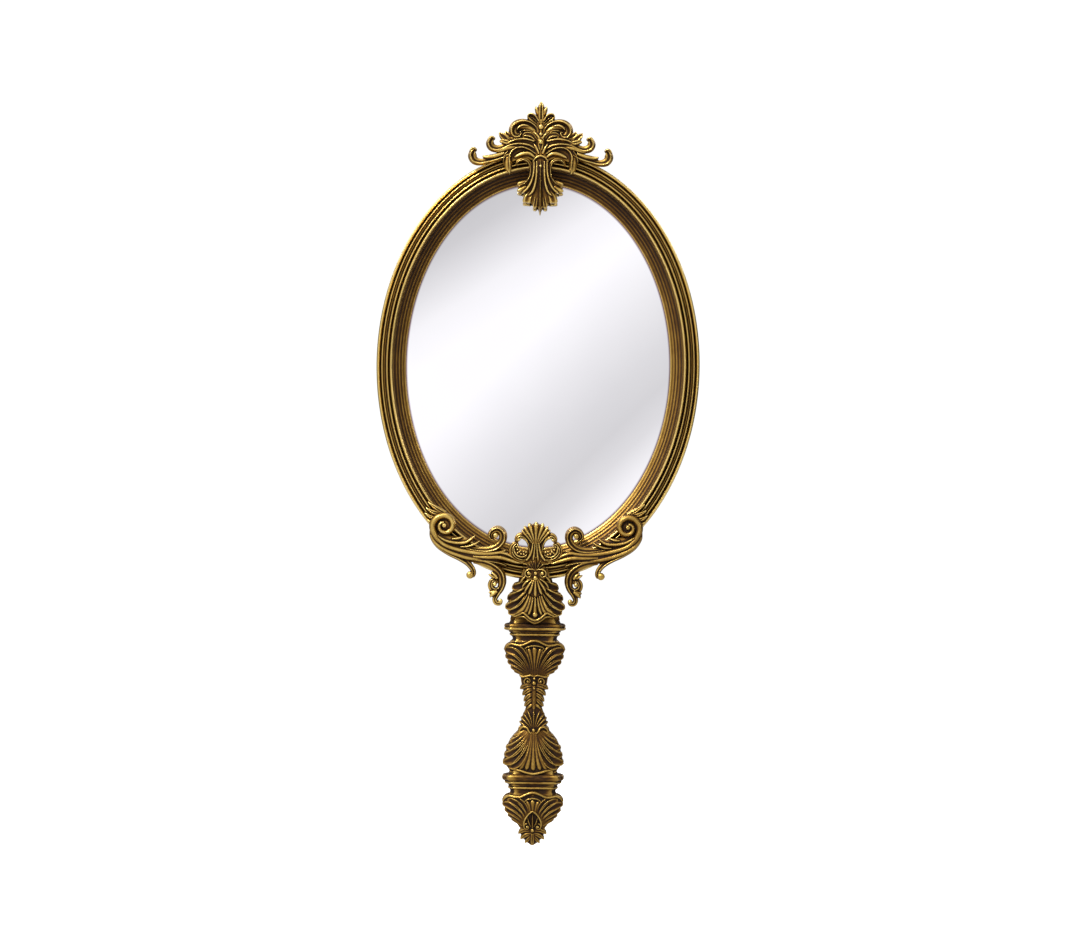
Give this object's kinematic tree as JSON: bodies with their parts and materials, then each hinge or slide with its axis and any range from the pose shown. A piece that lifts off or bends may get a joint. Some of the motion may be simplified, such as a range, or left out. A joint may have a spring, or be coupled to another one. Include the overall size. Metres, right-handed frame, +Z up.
{
  "type": "hand mirror",
  "caption": "Oval hand mirror with a moulded metal frame, pierced scroll ornaments, a flat back cover and a cast grip on a threaded tie rod.",
  "frame": {"origin": "on the handle's axis at the waist of the grip, where a hand closes round it", "axes": "+Z up the handle to the crest, +Y out of the back, so the glass faces -Y, +X to the right of someone who looks into the glass"},
  "size_m": [0.1306, 0.018, 0.2998],
  "materials": {
    "gilt_moulding": "antique gold, rubbed bright on the ridges, dark brown in the grooves",
    "patina_liner": "dark antique gold with brown patina",
    "mirror": "silvered glass",
    "foam": "dark foam",
    "gilt_back": "satin antique gold",
    "screw_steel": "plain",
    "pin_steel": "plain",
    "rod_steel": "plain",
    "gilt_ornament": "antique gold casting, dark brown in its hollows",
    "patina_block": "dark patina",
    "gilt_handle": "antique gold casting, dark brown in its hollows"
  },
  "bodies": {
    "root": {"rim_moulding": "gilt_moulding", "sight_liner": "patina_liner", "mirror_glass": "mirror", "foam_pad": "foam", "back_cover": "gilt_back", "cover_screws": "screw_steel", "ornament_screws": "screw_steel", "crest_palmette": "gilt_ornament", "crest_drop": "gilt_ornament", "scroll_left": "gilt_ornament", "scroll_right": "gilt_ornament", "neck_palmette": "gilt_ornament", "neck_rosette": "gilt_ornament", "neck_shell_front": "gilt_ornament", "neck_shell_back": "gilt_ornament", "neck_block": "patina_block", "neck_tang": "screw_steel", "neck_pins": "pin_steel", "tang_pins": "pin_steel", "upper_collar": "gilt_handle", "upper_cup": "gilt_handle", "grip_sleeve": "gilt_handle", "lower_shell": "gilt_handle", "lower_collar": "gilt_handle", "end_cup": "gilt_handle", "finial": "gilt_handle", "tie_rod": "rod_steel", "rod_washer": "rod_steel", "rod_nut": "rod_steel"}
  },
  "joints": []
}
